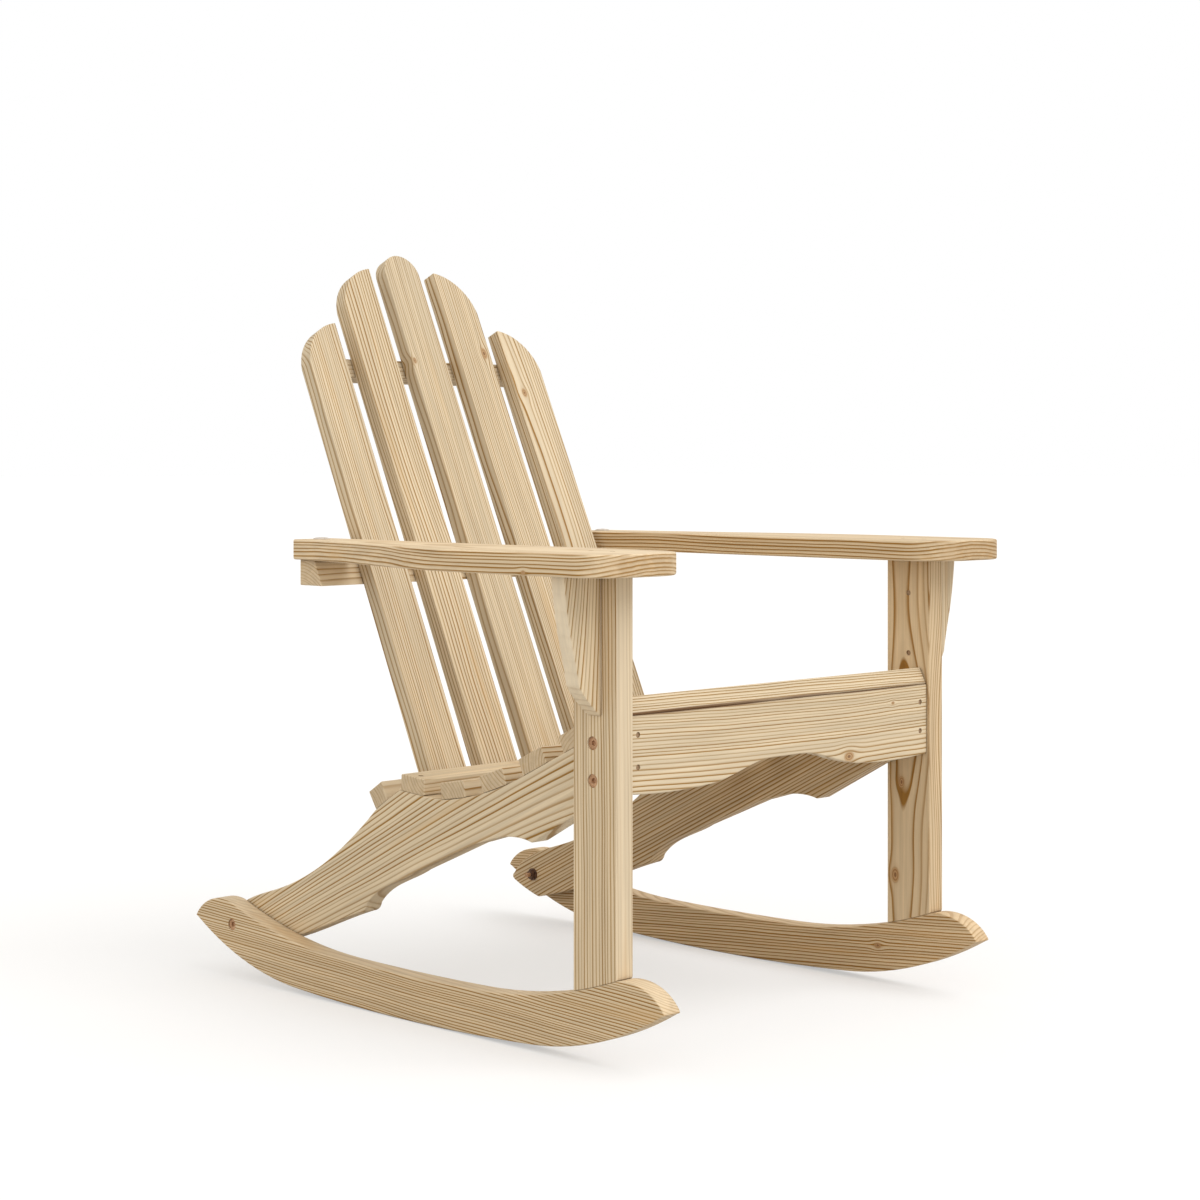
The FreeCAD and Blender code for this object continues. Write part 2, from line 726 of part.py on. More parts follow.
# Cross members behind the slats
upper_outline = [upper_corner, add(upper_corner, back_out, batten_thick)]
upper_outline.append(add(upper_outline[1], back_along, -batten_height))
upper_outline.append(add(upper_corner, back_along, -batten_height))
start, steps = polygon(upper_outline)
upper = board("upper_batten_blank", "YZ_Plane", start, steps, "Sizes.upper_batten_length",
              {"x": "-Sizes.upper_batten_length / 2"})
drilled("upper_batten", upper, back_screws("upper", gap))

cross_outline = [back_face(arm_under, slat_thick), (cross_rear, arm_under), (cross_rear, cross_bottom),
                 back_face(cross_bottom, slat_thick)]
start, steps = polygon(cross_outline)
cross = board("arm_cross_rail_blank", "YZ_Plane", start, steps, "2 * Sizes.cross_rail_half",
              {"x": "-Sizes.cross_rail_half"})
drilled("arm_cross_rail", cross, back_screws("cross", gap) + arm_stud(-1, gap) + arm_stud(1, gap))

foot_outline = [corner, foot_corner, add(foot_corner, foot_up, foot_side), add(corner, back_along, foot_side)]
start, steps = polygon(foot_outline)
foot_rail = board("foot_rail_blank", "YZ_Plane", start, steps, "Sizes.frame_width - 2 * Sizes.board_thick",
                  {"x": "-Sizes.frame_width / 2 + Sizes.board_thick"})
drilled("back_foot_rail", foot_rail, back_screws("foot", gap) + foot_rail_screws(gap))

# Arms: broad at the front, narrowing in a long curve to the rear
def arm_outline(side):
    inner = side * size("arm_inner")
    wide = side * size("arm_outer_front")
    narrow = side * size("arm_outer_rear")
    tip_y = front - size("arm_front_overhang")
    radius = size("arm_corner_radius")
    cut = radius * (1 - cos(radians(45)))
    round_inner = size("arm_inner_corner_radius")
    cut_inner = round_inner * (1 - cos(radians(45)))
    rear = size("arm_rear")
    run = rear - tip_y - size("arm_straight")

    def flare(across, along):
        return (narrow + across * (wide - narrow), rear - along * run)

    start = (inner, rear)
    return start, [
        ("line", (narrow, rear)),
        ("curve", flare(0.17, 0.215), flare(0.40, 0.408), flare(0.63, 0.572), flare(0.84, 0.732),
         flare(0.955, 0.87), flare(1, 1)),
        ("line", (wide, tip_y + radius)),
        ("arc", (wide - side * cut, tip_y + cut), (wide - side * radius, tip_y)),
        ("line", (inner + side * round_inner, tip_y)),
        ("arc", (inner + side * cut_inner, tip_y + cut_inner), (inner, tip_y + round_inner)),
        ("line", start),
    ]


for side_name, side in SIDES:
    start, steps = arm_outline(side)
    arm = board("arm_" + side_name + "_blank", "XY_Plane", start, steps, "Sizes.arm_thick",
                {"z": "Sizes.arm_top - Sizes.arm_thick"})
    drilled("arm_" + side_name, arm, arm_screws(side, gap) + arm_stud(side, gap))

# Brackets: tapered boards on the posts' outer faces, under the arms
def bracket_outline(side):
    reach = size("bracket_reach")
    height = size("bracket_height")

    def spot(out, down):
        return (side * (half_frame + out * reach), arm_under - down * height)

    start = spot(0, 0)
    return start, [
        ("line", spot(1, 0)),
        ("curve", spot(0.957, 0.15), spot(0.904, 0.28), spot(0.84, 0.4), spot(0.745, 0.54),
         spot(0.665, 0.66), spot(0.61, 0.765)),
        ("curve", spot(0.484, 0.834), spot(0.319, 0.9), spot(0.117, 0.97)),
        ("line", spot(0, 1)),
        ("line", start),
    ]


for side_name, side in SIDES:
    start, steps = bracket_outline(side)
    bracket = board("arm_bracket_" + side_name + "_blank", "XZ_Plane", start, steps, "Sizes.bracket_thick",
                    {"y": "-Sizes.post_front + Sizes.bracket_setback + Sizes.bracket_thick"})
    drilled("arm_bracket_" + side_name, bracket, bracket_fixings(side, gap))

# Fasteners, each kind one sub-part
group("post_bolts", [solid for name, side in SIDES for solid in side_bolts(side)])
group("tail_bolts", [solid for name, side in SIDES for solid in tail_bolts(side)])
group("nuts_and_washers", [
    solid for name, side in SIDES for y, z in post_bolts + [tail_bolt]
    for solid in nut_and_washer((side * rail_inner, y, z), (-side, 0, 0))])
group("post_dowels", [solid for name, side in SIDES for solid in post_dowels(side)])
group("bracket_screws", [solid for name, side in SIDES for solid in bracket_fixings(side)])
group("arm_post_screws", [solid for name, side in SIDES for solid in arm_screws(side)])
group("arm_rear_studs", [solid for name, side in SIDES for solid in arm_stud(side)])
group("apron_screws", apron_screws())
group("seat_screws", seat_screws())
group("foot_rail_screws", foot_rail_screws())
group("back_foot_screws", back_screws("foot"))
group("back_cross_screws", back_screws("cross"))
group("back_upper_screws", back_screws("upper"))

doc.recompute()
failed = [item.Name for item in doc.Objects if "Invalid" in item.State or "Error" in item.State]
if failed:
    raise RuntimeError("failed objects: " + ", ".join(failed))
for item in nodes:
    if item.Shape.isNull() or not item.Shape.isValid():
        raise RuntimeError(item.Label + " has no valid shape")

os.makedirs("parts", exist_ok=True)
for item in nodes:
    item.Shape.exportStep("parts/" + item.Label + ".step")
    print("%-22s %2d solid(s) %10.0f mm3" % (item.Label, len(item.Shape.Solids), item.Shape.Volume))
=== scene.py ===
import bmesh
import bpy
import json
import math
from mathutils import Matrix, Vector

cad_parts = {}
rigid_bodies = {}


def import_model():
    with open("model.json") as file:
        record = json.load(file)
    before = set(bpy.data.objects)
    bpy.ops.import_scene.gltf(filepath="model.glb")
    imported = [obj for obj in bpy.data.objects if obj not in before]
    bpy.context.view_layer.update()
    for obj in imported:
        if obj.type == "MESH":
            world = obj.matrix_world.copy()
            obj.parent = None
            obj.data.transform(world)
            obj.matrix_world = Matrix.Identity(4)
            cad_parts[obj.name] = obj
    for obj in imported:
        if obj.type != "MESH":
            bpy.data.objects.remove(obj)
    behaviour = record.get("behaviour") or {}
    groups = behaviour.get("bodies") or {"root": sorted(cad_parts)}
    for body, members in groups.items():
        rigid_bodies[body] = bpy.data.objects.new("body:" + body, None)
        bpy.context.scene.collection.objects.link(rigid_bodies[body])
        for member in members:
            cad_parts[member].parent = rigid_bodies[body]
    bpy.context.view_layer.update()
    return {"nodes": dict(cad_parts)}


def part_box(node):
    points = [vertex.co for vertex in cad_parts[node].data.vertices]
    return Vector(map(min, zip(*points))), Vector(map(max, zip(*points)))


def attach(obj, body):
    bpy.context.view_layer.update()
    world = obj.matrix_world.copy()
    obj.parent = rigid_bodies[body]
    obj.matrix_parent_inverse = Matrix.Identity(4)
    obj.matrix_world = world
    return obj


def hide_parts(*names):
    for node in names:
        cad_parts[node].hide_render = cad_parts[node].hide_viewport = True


# An outdoor rocking chair of bare pine. Each wooden solid of the frame gets a board with eased edges, whose
# wood has growth rings and knots, and each fastener gets its material. The chair stands on a pale floor in
# soft light.

for leftover in list(bpy.data.objects):
    bpy.data.objects.remove(leftover, do_unlink=True)
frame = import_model()
nodes = frame["nodes"]
scene = bpy.context.scene

MM = 0.001
X, Y, Z = Vector((1, 0, 0)), Vector((0, 1, 0)), Vector((0, 0, 1))


def turned_x(vector, degrees):
    """The vector turned about the chair's cross axis."""
    return Matrix.Rotation(math.radians(degrees), 3, "X") @ vector


# Slopes of the boards in the side view, in degrees
BACK_LEAN = 24.5
SEAT_SLOPE = 25.7
RAIL_SLOPE = 27
BACK_UP = turned_x(Z, -BACK_LEAN)
BACK_FRONT = turned_x(-Y, -BACK_LEAN)

# How a board is cut from its log. Places are in millimetres from the board's middle, in its own directions:
# along the grain, across and through.
# pith: where the log's middle runs, across and through
# ring: spacing of the growth rings; spread: how the spacing changes across the board
# tilt, dive: how much the pith runs off across and through; fan: how the tilt changes across the board
# sway: how far the grain wanders
# lines: how strong the late wood shows; fade: how much weaker it shows on end grain
# quiet: how much plainer the faces that look across are, and how much painted light makes them paler
# tone: lighter or darker; amber: yellower, partly the board's own colour and, on the far boards in shade,
# painted warm light bounced from the other boards
# seam: place across of a painted shadow line along a joint, in metres
# knots: each one's place along and across, and its radius
MOST_KNOTS = 4
NO_KNOT = (9000, 9000, 1)
NO_SEAM = -9.0
PLAIN_LOOK = dict(spread=0.0, tilt=0.0, dive=0.012, fan=0.0, sway=9.0, fade=0.35, quiet=0.15, amber=0.0,
                  seam=NO_SEAM, knots=[])


def side_board(turn, **look):
    """A board in the chair's side. Its grain runs to the front, turned so many degrees in the side view."""
    return dict(along=turned_x(-Y, turn), through=X, **look)


def upright(through, **look):
    """A board whose grain stands upright."""
    return dict(along=Z, through=through, **look)


def crosswise(turn, **look):
    """A board across the chair, turned so many degrees about its own length."""
    return dict(along=X, through=turned_x(Y, turn), **look)


def back_slat(**look):
    return dict(along=BACK_UP, through=BACK_FRONT, quiet=-0.05, **look)


def arm(**look):
    return dict(along=Y, through=X, quiet=0.5, fade=-0.1, **look)


BOARDS = {
    "runner_right": side_board(turn=2, pith=(-170, 50), ring=3.1, tone=1.01, lines=2.1, quiet=0.65,
                               amber=0.08),
    "runner_left": side_board(turn=-4, pith=(180, 50), ring=3.6, tone=0.98, lines=2.1, quiet=0.5, amber=0.18,
                              knots=[(261, 21, 2.5)]),
    "post_right": upright(X, pith=(120, 80), ring=3.6, tone=1.01, lines=1.2, sway=6, quiet=0.62, amber=0.05),
    "post_left": upright(X, pith=(-8, 46), ring=3.7, dive=0.0, tone=0.96, lines=1.15, sway=28, amber=0.17,
                         knots=[(-167, -19, 5), (-50, -11, 3.6)]),
    "side_rail_right": side_board(-RAIL_SLOPE, pith=(-190, 45), ring=5.3, tone=1.02, lines=1.4, fan=-1.2),
    "side_rail_left": side_board(-RAIL_SLOPE, pith=(190, 50), ring=4.4, tone=0.94, lines=1.95, amber=0.15),
    "front_apron": crosswise(turn=0, pith=(-150, 60), ring=4.0, spread=-9, tone=1.02, lines=1.1, sway=16,
                             seam=-0.0447, knots=[(113, 32, 4.5), (198, -26, 1.6)]),
    "seat_slat_front": crosswise(-SEAT_SLOPE, pith=(90, -50), ring=3.3, tone=0.97, lines=1.2, seam=0.010),
    "seat_slat_2": crosswise(-SEAT_SLOPE, pith=(60, -20), ring=4.6, tone=1.0, lines=1.0),
    "seat_slat_3": crosswise(-SEAT_SLOPE, pith=(15, -40), ring=4.2, tone=0.98, lines=1.1),
    "seat_slat_4": crosswise(turn=-16, pith=(-40, -60), ring=4.8, tone=1.0, lines=1.0),
    "seat_slat_5": crosswise(turn=-6, pith=(30, 45), ring=4.4, tone=0.97, lines=1.1, knots=[(120, 4, 5)]),
    "seat_slat_rear": crosswise(turn=4, pith=(-25, -35), ring=4.5, tone=1.0, lines=1.0, knots=[(-90, -6, 4)]),
    "back_slat_1": back_slat(pith=(-110, 70), ring=3.3, tone=0.94, lines=1.2),
    "back_slat_2": back_slat(pith=(95, -70), ring=3.6, tone=0.96, lines=1.25, sway=19),
    "back_slat_3": back_slat(pith=(-120, -60), ring=3.1, tone=0.91, lines=1.05, knots=[(218, 25, 2.5)]),
    "back_slat_4": back_slat(pith=(-130, 70), ring=3.2, tone=0.95, lines=1.2, knots=[(244, -19, 4)]),
    "back_slat_5": back_slat(pith=(50, -45), ring=4.2, tone=0.97, lines=1.25, sway=24,
                             knots=[(228, 20, 3.4)]),
    "upper_batten": dict(along=X, through=BACK_FRONT, pith=(40, 50), ring=4.2, tone=0.90, lines=1.1),
    "arm_cross_rail": crosswise(turn=0, pith=(60, 20), ring=3.8, tone=1.08, lines=1.0),
    "back_foot_rail": crosswise(turn=0, pith=(30, 30), ring=4.2, tone=0.95, lines=1.0),
    "arm_right": arm(pith=(-320, 10), ring=4.3, tilt=0.015, tone=1.06, lines=2.6, sway=12, amber=0.08,
                     knots=[(-193, -10, 1.8)]),
    "arm_left": arm(pith=(-320, -10), ring=4.6, tone=0.98, lines=2.5, sway=11, amber=0.12),
    "arm_bracket_right": upright(Y, pith=(190, 6), ring=5.4, tilt=-0.12, dive=0.0, fan=3.6, tone=1.09,
                                 lines=1.2, sway=5, quiet=0.95),
    "arm_bracket_left": upright(Y, pith=(60, -30), ring=3.6, tone=1.04, lines=0.8, knots=[(10, 18, 2)]),
}
# Each board has a seed, which shifts its noise along, across and through
FIRST_SEED = 1.7
SEED_STEP = 3.31
SEED_SHIFT = (13.1, 7.7, 3.3)

# Radius of the eased edges, in millimetres
EASED_EDGE = 1.6
SOFT_EDGE = {"arm_right": 2.4, "arm_left": 2.4, "seat_slat_front": 2.2, "front_apron": 2.0}
# An edge is sharp where its faces turn by more than SHARP_TURN. It is eased if it belongs to a chain of sharp
# edges larger than LONG_CHAIN, which leaves the rims of the small holes sharp.
SHARP_TURN = math.radians(28)
LONG_CHAIN = 24 * MM
# Corners nearer than SAME_CORNER become one, and so do faces that turn by less than FLAT_TURN
SAME_CORNER = 0.002 * MM
FLAT_TURN = math.radians(0.5)

# Noise in the wood: waves to the metre along and across the grain
SWAY_WAVES = (2.6, 4.0)
RIPPLE_WAVES = (7.0, 30.0)
PATCH_WAVES = (2.4, 14.0)
STREAK_WAVES = (4.0, 110.0)
RESIN_WAVES = (3.0, 60.0)
FIBRE_WAVES = (12.0, 520.0)
RUB_WAVES = (9.0, 40.0)
SEAM_PATCH_WAVES = (7.0, 3.0)
# Noise in the metal: waves to the metre along each axis
METAL_STAINS = (240.0, 240.0, 240.0)
METAL_SCRATCHES = (2600.0, 300.0, 300.0)
# A noise runs from 0 to 1. A soft step over it starts and stops at these values.
NOISE_MIDDLE = 0.5
STREAK_STEP = (0.34, 0.70)
RESIN_STEP = (0.60, 0.78)
FIBRE_STEP = (0.25, 0.75)
DULL_FIBRE_STEP = (0.2, 0.8)
RUB_STEP = (0.35, 0.65)
SEAM_PATCH_STEP = (0.35, 0.60)
METAL_STAIN_STEP = (0.35, 0.65)
METAL_SCRATCH_STEP = (0.3, 0.7)

# Grain: the depth of its ripples, and the share of its sway that goes through the board too
RIPPLE_DEPTH = 3.6 * MM
SWAY_THROUGH = -0.7
# Knots: how little a distance along the grain counts, how soon their pull on the grain dies away, how strong
# the pull is, how ragged their edge is, and how many rings of their own they have in one radius
KNOT_LENGTHENING = 0.42
KNOT_FALLING_OFF = -0.13
KNOT_PULL = 0.86
RAGGED_KNOT = 260.0
KNOT_RINGS = 1.9
# Where a knot's own wood, the shade round it and its dark heart fade out, in its radii
KNOT_EDGE = (1.0, 1.5)
KNOT_SHADE_EDGE = (0.9, 2.6)
KNOT_HEART_EDGE = (0.16, 0.42)
# Growth rings: waves of uneven spacing to the ring, how many rings it shifts a line, the faintest ring's
# strength and how much stronger the strongest is
UNEVEN_WAVES = 0.37
UNEVEN_RINGS = 1.6
FAINTEST_RING = 0.42
RING_VARIETY = 0.70
# Darkness over one growth ring, soft on its inner side and crisp on its outer side, and over a ring of a knot
RING_PROFILE = [(0.0, 0.03), (0.36, 0.0), (0.62, 0.18), (0.80, 0.90), (0.91, 1.0), (1.0, 0.02)]
KNOT_PROFILE = [(0.0, 0.1), (0.55, 0.9), (1.0, 0.2)]

# Colours of the wood. Those of early and late wood and of knots are pairs to be mixed.
EARLY_WOOD = ((0.700, 0.568, 0.378), (0.765, 0.644, 0.462))
LATE_WOOD = ((0.290, 0.138, 0.020), (0.365, 0.195, 0.036))
KNOT_WOOD = ((0.60, 0.41, 0.215), (0.30, 0.145, 0.055))
# Painted light: the pale colour that the faces looking across are mixed toward
PAINTED_PALE_FACE = (0.74, 0.645, 0.50)
RESIN = (0.60, 0.385, 0.165)
KNOT_SHADE = (0.46, 0.28, 0.125)
KNOT_HEART = (0.13, 0.055, 0.025)
END_GRAIN = (0.44, 0.29, 0.145)
RUBBED_EDGE = (0.80, 0.66, 0.46)
# Painted shade in the joints, and a painted shadow line along one joint
JOINT_SHADE_PAINT = (0.10, 0.055, 0.028)
SEAM_SHADOW_PAINT = (0.16, 0.075, 0.026)
# The shares of the painted pale colour on a quiet face and of end grain's own colour, and what amber takes
# from green beside blue
PAINTED_PALE_SHARE = 0.38
END_SHARE = 0.34
GREEN_IN_AMBER = 0.45
# How squarely a face looks along the grain as it turns to end grain, and how squarely it looks in any one
# direction as an eased edge turns to a flat face
END_FACING = (0.66, 0.95)
FLAT_FACING = (0.90, 0.99)
# How far the painted shade reaches from a joint, how open the place is where it fades, and how the painted
# shadow line along a seam fades
PAINTED_SHADE_REACH = 9 * MM
PAINTED_SHADE_OPENNESS = (0.10, 0.85)
SEAM_EDGES = (0.9 * MM, 2.6 * MM)

# Relief: its depth, and what late wood and fibres add to it and a knot takes from it
WOOD_RELIEF = 0.45 * MM
METAL_RELIEF = 0.2 * MM
LATE_HEIGHT = 0.55
FIBRE_HEIGHT = 0.8
KNOT_DIP = 0.5
# Late wood is a little smoother, and metal varies between smoother and rougher
LATE_ROUGHNESS = -0.10
METAL_SMOOTHER = 0.08
METAL_ROUGHER = 0.12


class Net:
    """Short calls for building a node tree."""

    def __init__(self, tree):
        self.tree = tree

    def add(self, kind, **settings):
        node = self.tree.nodes.new(kind)
        for key, value in settings.items():
            setattr(node, key, value)
        return node

    def put(self, socket, value):
        """Links the socket to another one, or sets it to a plain value; a colour may be three numbers."""
        if isinstance(value, bpy.types.NodeSocket):
            self.tree.links.new(value, socket)
        elif value is not None:
            plain_colour = socket.type == "RGBA" and len(value) == 3
            socket.default_value = (*value, 1) if plain_colour else value

    def math(self, operation, a, b=None, clamp=False):
        node = self.add("ShaderNodeMath", operation=operation, use_clamp=clamp)
        self.put(node.inputs[0], a)
        self.put(node.inputs[1], b)
        return node.outputs[0]

    def total(self, a, b):
        return self.math("ADD", a, b)

    def less(self, a, b):
        return self.math("SUBTRACT", a, b)

    def product(self, a, b, clamp=False):
        return self.math("MULTIPLY", a, b, clamp)

    def square(self, a):
        return self.math("MULTIPLY", a, a)

    def absolute(self, a):
        return self.math("ABSOLUTE", a)

    def vector(self, operation, a, b):
        node = self.add("ShaderNodeVectorMath", operation=operation)
        self.put(node.inputs[0], a)
        self.put(node.inputs[1], b)
        return node.outputs["Value"] if operation == "DOT_PRODUCT" else node.outputs[0]

    def combine(self, x, y, z):
        node = self.add("ShaderNodeCombineXYZ")
        for socket, value in zip(node.inputs, (x, y, z)):
            self.put(socket, value)
        return node.outputs[0]

    def split(self, value):
        node = self.add("ShaderNodeSeparateXYZ")
        self.put(node.inputs[0], value)
        return node.outputs[0], node.outputs[1], node.outputs[2]

    def noise(self, place, detail=2.0, roughness=0.5):
        node = self.add("ShaderNodeTexNoise", noise_dimensions="3D")
        self.put(node.inputs["Vector"], place)
        self.put(node.inputs["Scale"], 1.0)
        self.put(node.inputs["Detail"], detail)
        self.put(node.inputs["Roughness"], roughness)
        return node.outputs["Fac"]

    def property(self, name, output="Fac"):
        """A value that the object carries."""
        node = self.add("ShaderNodeAttribute", attribute_type="OBJECT", attribute_name=name)
        return node.outputs[output]

    def ramp(self, value, stops):
        node = self.add("ShaderNodeValToRGB")
        self.put(node.inputs[0], value)
        points = node.color_ramp.elements
        while len(points) < len(stops):
            points.new(0.5)
        for point, (place, grey) in zip(points, stops):
            point.position = place
            point.color = (grey, grey, grey, 1)
        return node.outputs[0]

    def blend(self, share, under, over, kind="MIX"):
        node = self.add("ShaderNodeMix", data_type="RGBA", blend_type=kind)
        self.put(node.inputs[0], share)
        self.put(node.inputs[6], under)
        self.put(node.inputs[7], over)
        return node.outputs[2]

    def step(self, value, start, stop, before=0.0, after=1.0):
        """A soft step: it gives before up to start, and after from stop on."""
        node = self.add("ShaderNodeMapRange", interpolation_type="SMOOTHSTEP")
        for socket, number in zip(node.inputs, (value, start, stop, before, after)):
            self.put(socket, number)
        return node.outputs[0]

    def bump(self, height, strength, distance):
        node = self.add("ShaderNodeBump")
        self.put(node.inputs["Strength"], strength)
        self.put(node.inputs["Distance"], distance)
        self.put(node.inputs["Height"], height)
        return node.outputs[0]

    def background(self, colour, strength):
        node = self.add("ShaderNodeBackground")
        self.put(node.inputs["Color"], colour)
        self.put(node.inputs["Strength"], strength)
        return node.outputs[0]


class Wood(Net):
    """A node tree that knows where a point lies in its board and which way its face looks."""

    def __init__(self, tree):
        super().__init__(tree)
        coordinates = self.add("ShaderNodeTexCoord").outputs
        axes = [self.property("axis_" + name, "Vector") for name in ("along", "across", "through")]
        start = self.vector("SUBTRACT", coordinates["Object"], self.property("middle", "Vector"))
        self.place = [self.vector("DOT_PRODUCT", start, axis) for axis in axes]
        self.facing = [self.vector("DOT_PRODUCT", coordinates["Normal"], axis) for axis in axes]
        self.point = self.combine(*self.place)
        self.seed = self.property("seed")
        self.shift = self.combine(*(self.product(self.seed, share) for share in SEED_SHIFT))

    def field(self, waves, detail=2.0, roughness=0.5):
        """Noise with so many waves to the metre along and across the grain, another on each board."""
        along, across = waves
        scaled = self.vector("MULTIPLY", self.point, (along, across, across))
        return self.noise(self.vector("ADD", scaled, self.shift), detail, roughness)


def fresh_material(name, kind):
    """A material with an empty node tree, and the helper that fills it."""
    material = bpy.data.materials.new(name)
    material.use_nodes = True
    material.node_tree.nodes.clear()
    return material, kind(material.node_tree)


def surface(net, colour, roughness, normal):
    """The shader that ends a material. Its other values are still to be set."""
    shader = net.add("ShaderNodeBsdfPrincipled")
    net.put(shader.inputs["Base Color"], colour)
    net.put(shader.inputs["Roughness"], roughness)
    net.put(shader.inputs["Normal"], normal)
    net.put(net.add("ShaderNodeOutputMaterial").inputs["Surface"], shader.outputs[0])
    return shader


def wandering_grain(wood):
    """The point's place after the log's slow sways and small ripples, and the ripple itself."""
    x, y, z = wood.place
    sway = wood.product(wood.less(wood.field(SWAY_WAVES, detail=1.0), NOISE_MIDDLE), wood.property("sway"))
    ripple = wood.product(wood.less(wood.field(RIPPLE_WAVES), NOISE_MIDDLE), RIPPLE_DEPTH)
    y = wood.total(y, wood.total(sway, ripple))
    z = wood.total(z, wood.product(sway, SWAY_THROUGH))
    return x, y, z, ripple


def round_knots(wood, x, y, ripple):
    """The place across where the grain flows round each knot, and how many radii off the nearest one is."""
    near = None
    for index in range(MOST_KNOTS):
        knot_x, knot_y, radius = wood.split(wood.property("knot%d" % (index + 1), "Vector"))
        dx = wood.less(x, knot_x)
        dy = wood.less(y, knot_y)
        square = wood.total(wood.product(wood.square(dx), KNOT_LENGTHENING), wood.square(dy))
        reach = wood.math("DIVIDE", square, wood.square(radius))
        pull = wood.math("EXPONENT", wood.product(reach, KNOT_FALLING_OFF))
        y = wood.less(y, wood.product(dy, wood.product(pull, KNOT_PULL)))
        distance = wood.math("SQRT", reach)
        near = distance if near is None else wood.math("MINIMUM", near, distance)
    return y, wood.total(near, wood.product(ripple, RAGGED_KNOT))


def ring_count(wood, x, y, z):
    """How many growth rings lie between the pith and the point."""
    pith_y, pith_z, tilt = wood.split(wood.property("pith", "Vector"))
    y = wood.total(y, wood.product(wood.square(y), wood.product(wood.property("spread"), 0.5)))
    lean = wood.total(tilt, wood.product(y, wood.property("fan")))
    across = wood.total(wood.less(y, pith_y), wood.product(x, lean))
    depth = wood.total(wood.less(z, pith_z), wood.product(x, wood.property("dive")))
    radial = wood.math("SQRT", wood.total(wood.square(across), wood.square(depth)))
    count = wood.math("DIVIDE", radial, wood.property("ring"))
    uneven = wood.noise(wood.combine(wood.product(count, UNEVEN_WAVES), wood.seed, 0.5), detail=1.0)
    return wood.total(count, wood.product(uneven, UNEVEN_RINGS))


def late_wood(wood, count, end):
    """The dark part of each ring: stronger in some rings, weaker on quiet faces and on end grain."""
    dark = wood.ramp(wood.math("FRACT", count), RING_PROFILE)
    chance = wood.add("ShaderNodeTexWhiteNoise", noise_dimensions="2D")
    wood.put(chance.inputs["Vector"], wood.combine(wood.math("FLOOR", count), wood.seed, 0.0))
    strength = wood.total(FAINTEST_RING, wood.product(chance.outputs["Value"], RING_VARIETY))
    dark = wood.product(wood.product(dark, strength), wood.property("lines"), clamp=True)
    calm = wood.product(wood.square(wood.facing[1]), wood.property("quiet"))
    left = wood.less(wood.less(1.0, calm), wood.product(end, wood.property("fade")))
    return wood.product(dark, left, clamp=True)


def planed_colour(wood, late, fibre):
    """Early and late wood in patches, with fine streaks and resin, and quiet faces made paler by painted
    light.
    """
    patch = wood.field(PATCH_WAVES)
    colour = wood.blend(late, wood.blend(patch, *EARLY_WOOD), wood.blend(patch, *LATE_WOOD))
    streak = wood.step(wood.field(STREAK_WAVES), *STREAK_STEP, before=0.92, after=1.05)
    grain = wood.product(wood.step(fibre, *FIBRE_STEP, before=0.94, after=1.05), streak)
    colour = wood.blend(1.0, colour, wood.combine(grain, grain, grain), "MULTIPLY")
    # Painted light: faces that look across are mixed toward a pale colour, as if more brightly lit
    painted_paleness = wood.product(wood.square(wood.facing[1]), wood.product(wood.property("quiet"), PAINTED_PALE_SHARE))
    colour = wood.blend(painted_paleness, colour, PAINTED_PALE_FACE)
    resin = wood.step(wood.field(RESIN_WAVES, detail=1.0), *RESIN_STEP, before=0.0, after=0.34)
    return wood.blend(resin, colour, RESIN)


def knotty_colour(wood, colour, near, knot):
    """A knot has rings of its own, a dark heart and a shade round it."""
    turns = wood.ramp(wood.math("FRACT", wood.product(near, KNOT_RINGS)), KNOT_PROFILE)
    shade = wood.step(near, *KNOT_SHADE_EDGE, before=0.26, after=0.0)
    heart = wood.step(near, *KNOT_HEART_EDGE, before=0.62, after=0.0)
    colour = wood.blend(shade, colour, KNOT_SHADE)
    colour = wood.blend(knot, colour, wood.blend(turns, *KNOT_WOOD))
    return wood.blend(heart, colour, KNOT_HEART)


def rubbed_colour(wood, colour):
    """The eased edges are rubbed pale in places."""
    nx, ny, nz = (wood.absolute(part) for part in wood.facing)
    flat = wood.math("MAXIMUM", nx, wood.math("MAXIMUM", ny, nz))
    eased = wood.step(flat, *FLAT_FACING, before=1.0, after=0.0)
    rubbed = wood.step(wood.field(RUB_WAVES), *RUB_STEP, before=0.04, after=0.26)
    return wood.blend(wood.product(eased, rubbed), colour, RUBBED_EDGE)


def painted_joint_shade(wood, colour):
    """Painted shade darkens the joints between the boards, and a painted shadow line runs along one joint."""
    # Painted shade: ambient occlusion darkens the wood where the boards close in on each other
    joint = wood.add("ShaderNodeAmbientOcclusion", samples=4)
    wood.put(joint.inputs["Distance"], PAINTED_SHADE_REACH)
    painted_shade = wood.step(joint.outputs["AO"], *PAINTED_SHADE_OPENNESS, before=0.56, after=0.0)
    colour = wood.blend(painted_shade, colour, JOINT_SHADE_PAINT)
    # Painted shadow line along the joint at the seam's place, patchy in strength
    gap = wood.absolute(wood.less(wood.place[1], wood.property("seam")))
    seam = wood.step(gap, *SEAM_EDGES, before=1.0, after=0.0)
    patches = wood.step(wood.field(SEAM_PATCH_WAVES, detail=1.0), *SEAM_PATCH_STEP, before=0.40, after=0.92)
    return wood.blend(wood.product(seam, patches), colour, SEAM_SHADOW_PAINT)


def tinted_colour(wood, colour):
    """The board's own tone, with less blue and a little less green where it is amber; on the far boards in
    shade that amber is painted warm bounced light.
    """
    tone = wood.property("tone")
    amber = wood.property("amber")
    green = wood.product(tone, wood.less(1.0, wood.product(amber, GREEN_IN_AMBER)))
    blue = wood.product(tone, wood.less(1.0, amber))
    return wood.blend(1.0, colour, wood.combine(tone, green, blue), "MULTIPLY")


